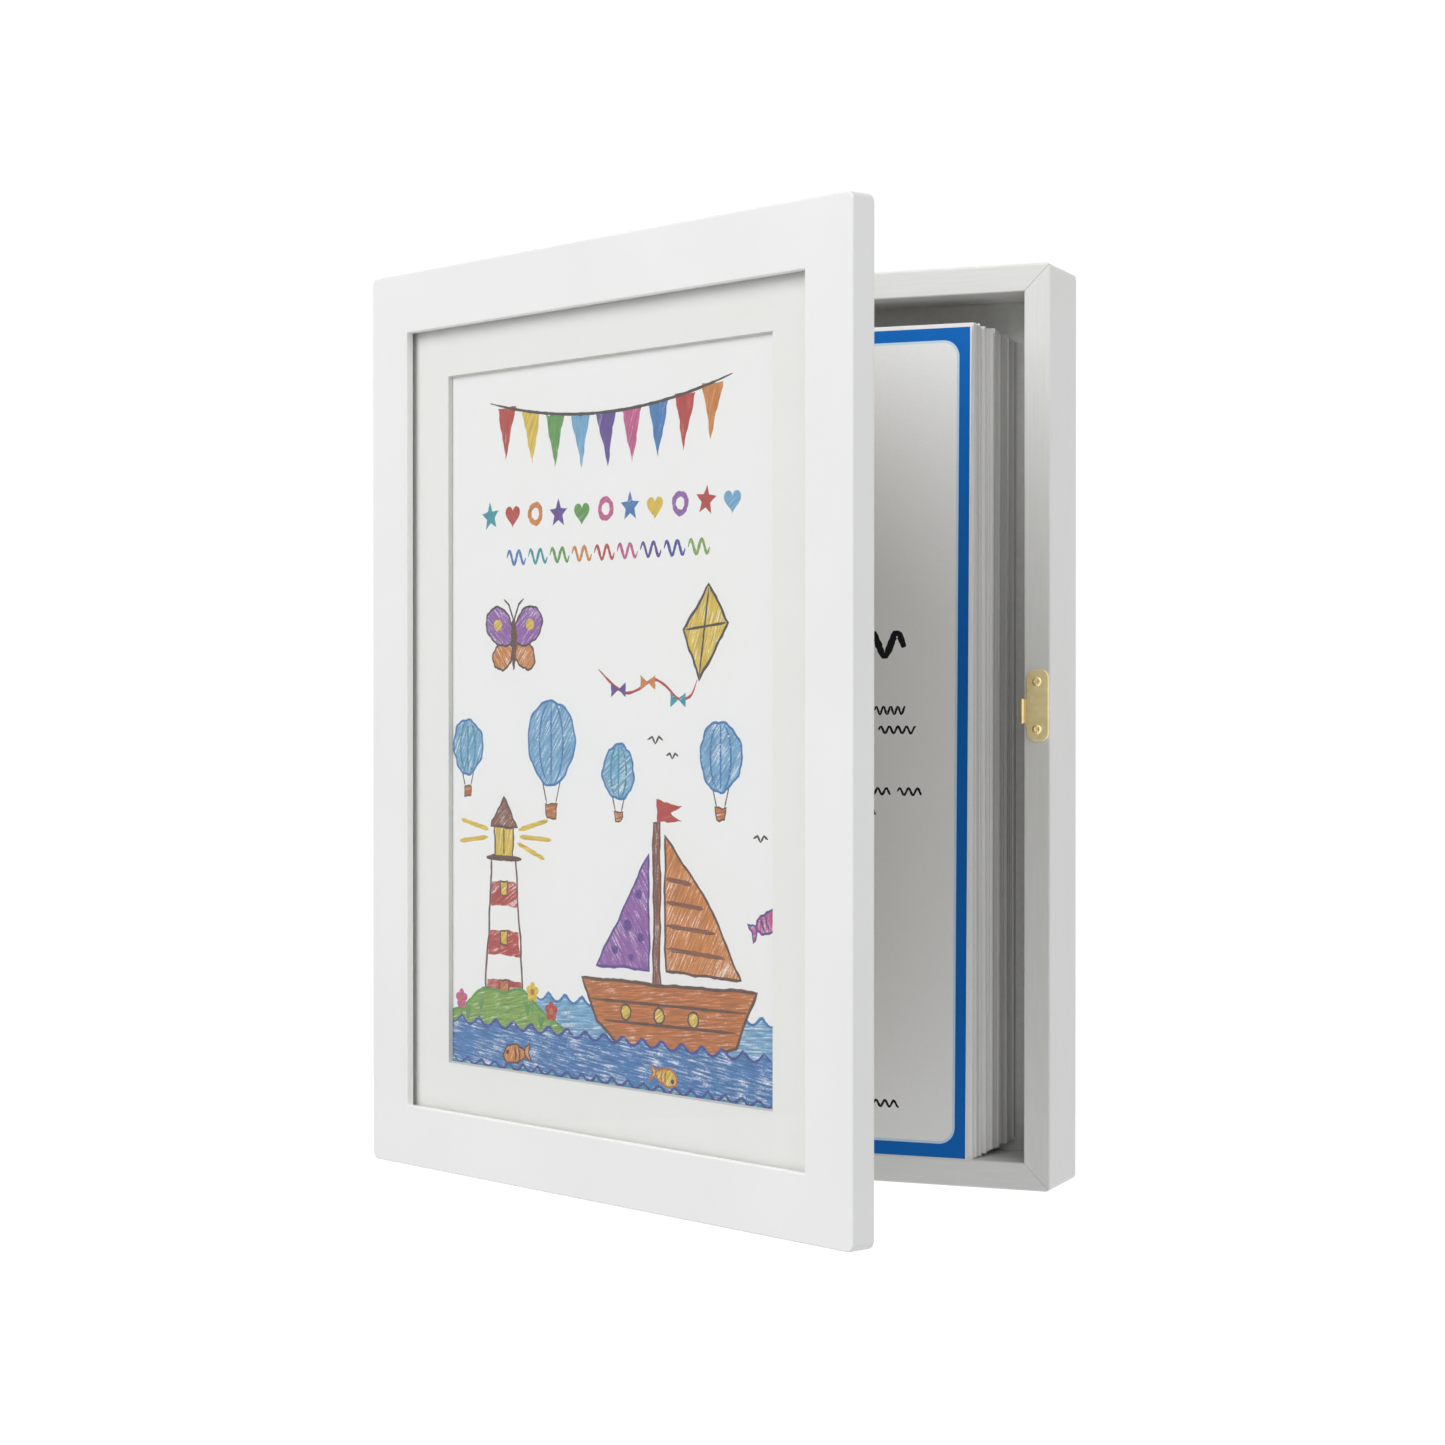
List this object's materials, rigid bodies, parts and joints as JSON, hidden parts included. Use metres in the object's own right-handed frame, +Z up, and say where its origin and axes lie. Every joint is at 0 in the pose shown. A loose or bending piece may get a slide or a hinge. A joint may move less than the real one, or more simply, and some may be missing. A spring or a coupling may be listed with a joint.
{
  "type": "childrens art frame",
  "caption": "White front-opening picture frame: a hinged glazed door with a mat and a print, on a mitred box that stores sheets of drawing paper.",
  "frame": {"origin": "on the top rail's rear face, at its middle, where the frame meets the wall", "axes": "+X to the right seen from the front, +Y into the wall, +Z up; the door is ajar and faces -Y"},
  "size_m": [0.2653, 0.1592, 0.3359],
  "materials": {
    "white_lacquer": "smooth satin white lacquer on wood",
    "brass": "brass plated pressed steel",
    "zinc_steel": "bright zinc plated",
    "hardboard": "smooth brown hardboard",
    "backing_card": "plain brown board",
    "clear_acrylic": "clear polished acrylic",
    "mat_card": "off-white matt mat board with a white core",
    "drawing_paper": "plain white drawing paper",
    "cover_paper": "printed sheet with a blue border"
  },
  "bodies": {
    "box": {"box_top_rail": "white_lacquer", "box_bottom_rail": "white_lacquer", "box_left_rail": "white_lacquer", "box_right_rail": "white_lacquer", "back_panel": "hardboard", "panel_screw_top": "zinc_steel", "panel_screw_bottom": "zinc_steel", "panel_screw_left": "zinc_steel", "panel_screw_right": "zinc_steel", "hanger_portrait": "zinc_steel", "hanger_portrait_nail_1": "zinc_steel", "hanger_portrait_nail_2": "zinc_steel", "hanger_landscape": "zinc_steel", "hanger_landscape_nail_1": "zinc_steel", "hanger_landscape_nail_2": "zinc_steel", "strike_plate": "brass", "strike_screw_1": "brass", "strike_screw_2": "brass", "hinge_upper_box_leaf": "brass", "hinge_upper_pin": "brass", "hinge_upper_box_screw_1": "brass", "hinge_upper_box_screw_2": "brass", "hinge_lower_box_leaf": "brass", "hinge_lower_pin": "brass", "hinge_lower_box_screw_1": "brass", "hinge_lower_box_screw_2": "brass", "cover_sheet": "cover_paper", "paper_bundle_1": "drawing_paper", "paper_bundle_2": "drawing_paper", "paper_bundle_3": "drawing_paper", "paper_bundle_4": "drawing_paper", "paper_bundle_5": "drawing_paper", "paper_bundle_6": "drawing_paper", "paper_bundle_7": "drawing_paper"},
    "door": {"door_top_rail": "white_lacquer", "door_bottom_rail": "white_lacquer", "door_left_rail": "white_lacquer", "door_right_rail": "white_lacquer", "glazing": "clear_acrylic", "mat_board": "mat_card", "display_print": "drawing_paper", "backing_board": "backing_card", "hinge_upper_door_leaf": "brass", "hinge_upper_door_screw_1": "brass", "hinge_upper_door_screw_2": "brass", "hinge_lower_door_leaf": "brass", "hinge_lower_door_screw_1": "brass", "hinge_lower_door_screw_2": "brass", "turn_button_screw_upper_left": "zinc_steel", "turn_button_screw_lower_left": "zinc_steel", "turn_button_screw_upper_right": "zinc_steel", "turn_button_screw_lower_right": "zinc_steel", "catch_clip": "brass", "catch_clip_screw": "brass"},
    "turn_button_upper_left": {"turn_button_upper_left": "zinc_steel"},
    "turn_button_lower_left": {"turn_button_lower_left": "zinc_steel"},
    "turn_button_upper_right": {"turn_button_upper_right": "zinc_steel"},
    "turn_button_lower_right": {"turn_button_lower_right": "zinc_steel"}
  },
  "joints": [
    {"name": "door_swing", "type": "hinge", "parent": "box", "child": "door", "pos_m": [-0.1302, -0.0335, -0.16115], "axis": [0, 0, -1], "range_deg": [-26, 109]},
    {"name": "turn_button_upper_left_swivel", "type": "hinge", "parent": "door", "child": "turn_button_upper_left", "pos_m": [-0.12072, -0.03968, -0.08865], "axis": [0.4384, 0.8988, 0], "continuous": true},
    {"name": "turn_button_lower_left_swivel", "type": "hinge", "parent": "door", "child": "turn_button_lower_left", "pos_m": [-0.12072, -0.03968, -0.22865], "axis": [0.4384, 0.8988, 0], "continuous": true},
    {"name": "turn_button_upper_right_swivel", "type": "hinge", "parent": "door", "child": "turn_button_upper_right", "pos_m": [0.09314, -0.14399, -0.08865], "axis": [0.4384, 0.8988, 0], "continuous": true},
    {"name": "turn_button_lower_right_swivel", "type": "hinge", "parent": "door", "child": "turn_button_lower_right", "pos_m": [0.09314, -0.14399, -0.22865], "axis": [0.4384, 0.8988, 0], "continuous": true}
  ]
}
